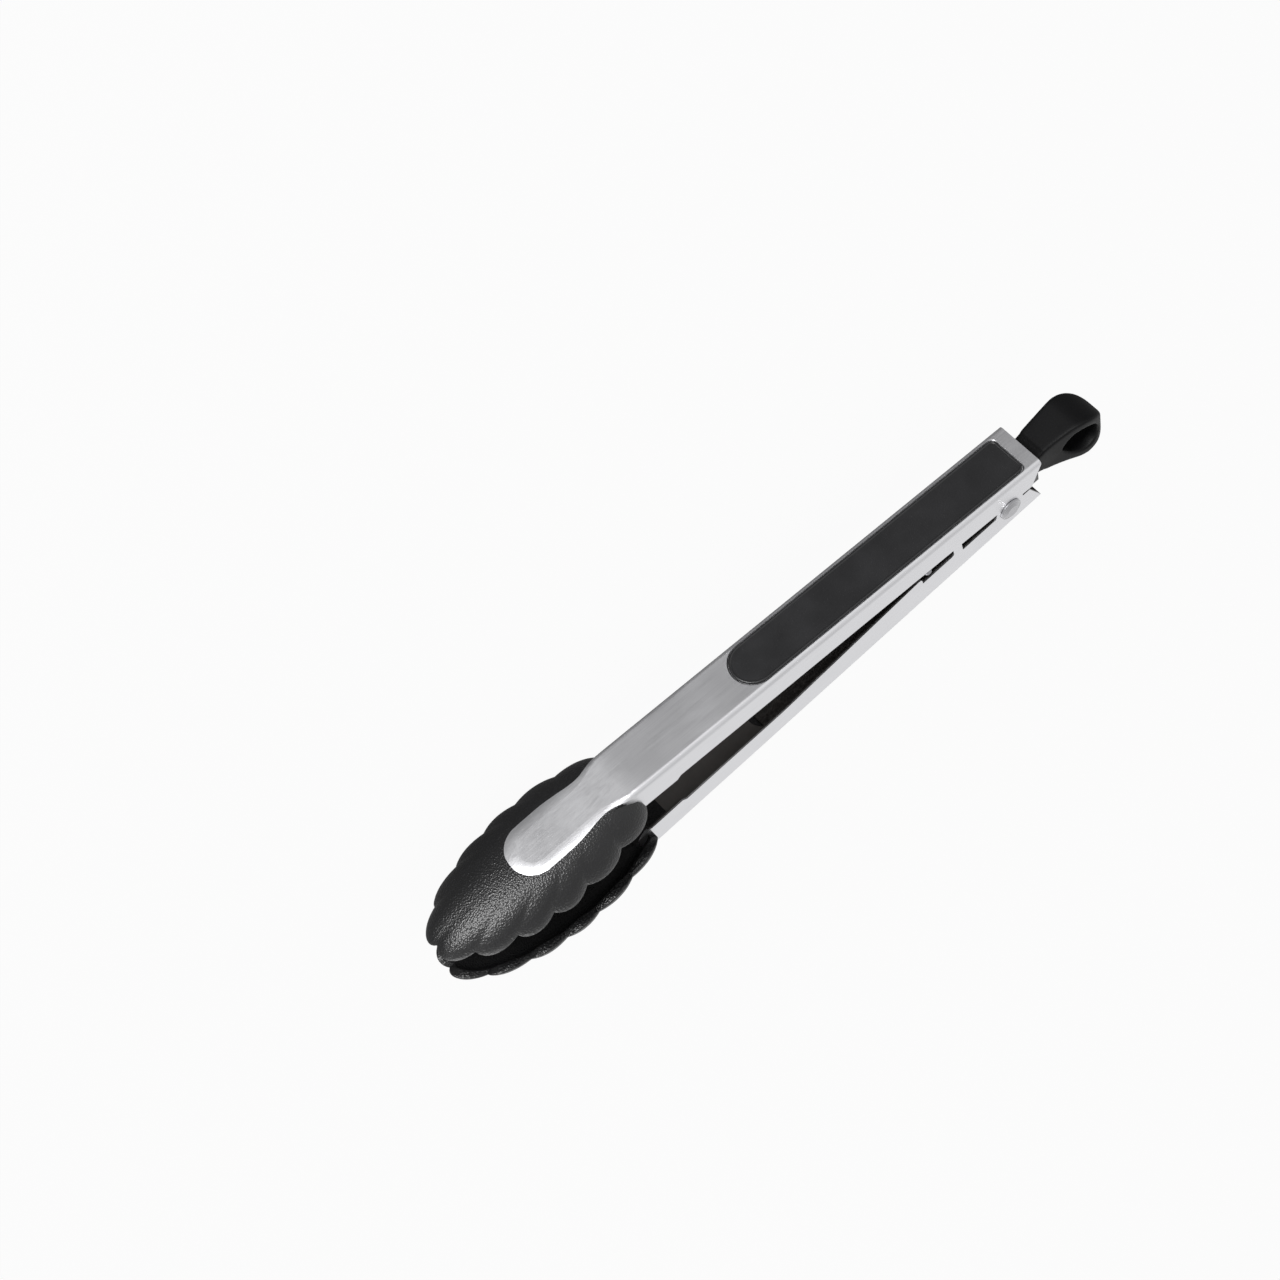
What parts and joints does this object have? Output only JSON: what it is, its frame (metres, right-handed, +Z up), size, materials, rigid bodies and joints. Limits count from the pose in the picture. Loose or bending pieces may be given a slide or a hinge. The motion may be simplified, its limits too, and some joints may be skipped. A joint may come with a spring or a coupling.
{
  "type": "spring loaded kitchen tongs",
  "caption": "Locking kitchen tongs: sprung channel arms with soft grips, scalloped cup heads, a pull lock and a hanging loop.",
  "frame": {"origin": "centre of the bounding box on the floor, with the tongs lying on their side", "axes": "+X along the tongs from the pull tab towards the heads, +Z up along the hinge axis, thumb arm towards -Y"},
  "size_m": [0.2582, 0.0398, 0.0369],
  "materials": {
    "steel": "satin brushed along the arm",
    "nylon": "fine spark-eroded grain",
    "grip": "smooth matt",
    "backing": "plain moulded",
    "rivet": "headed, bright",
    "sleeve": "plain moulded",
    "spring": "drawn wire",
    "slide": "plain moulded",
    "bar": "turned",
    "tab": "smooth matt"
  },
  "bodies": {
    "hinge": {"hinge_rivet": "rivet", "hinge_sleeve": "sleeve", "torsion_spring": "spring"},
    "thumb_side": {"thumb_arm": "steel", "thumb_head": "nylon", "thumb_grip": "grip", "thumb_grip_backing": "backing"},
    "finger_side": {"finger_arm": "steel", "finger_head": "nylon", "finger_grip": "grip", "finger_grip_backing": "backing"},
    "lock": {"lock_slide": "slide", "lock_bar": "bar", "pull_tab": "tab"}
  },
  "joints": [
    {"name": "thumb_swing", "type": "hinge", "parent": "hinge", "child": "thumb_side", "pos_m": [-0.08765, 0, 0.01845], "axis": [0, 0, -1], "range_deg": [-1.75, 13], "stiffness_Nm_per_rad": 0.4, "springref_deg": 22.92, "deforming": ["torsion_spring"]},
    {"name": "finger_swing", "type": "hinge", "parent": "hinge", "child": "finger_side", "pos_m": [-0.08765, 0, 0.01845], "axis": [0, 0, 1], "range_deg": [-1.75, 13], "stiffness_Nm_per_rad": 0.4, "springref_deg": 22.92, "deforming": ["torsion_spring"]},
    {"name": "lock_pull", "type": "slide", "parent": "hinge", "child": "lock", "axis": [-1, 0, 0], "range_m": [0, 0.008]}
  ],
  "couplings": [
    {"joint": "finger_swing", "follows": "thumb_swing", "ratio": 1}
  ]
}
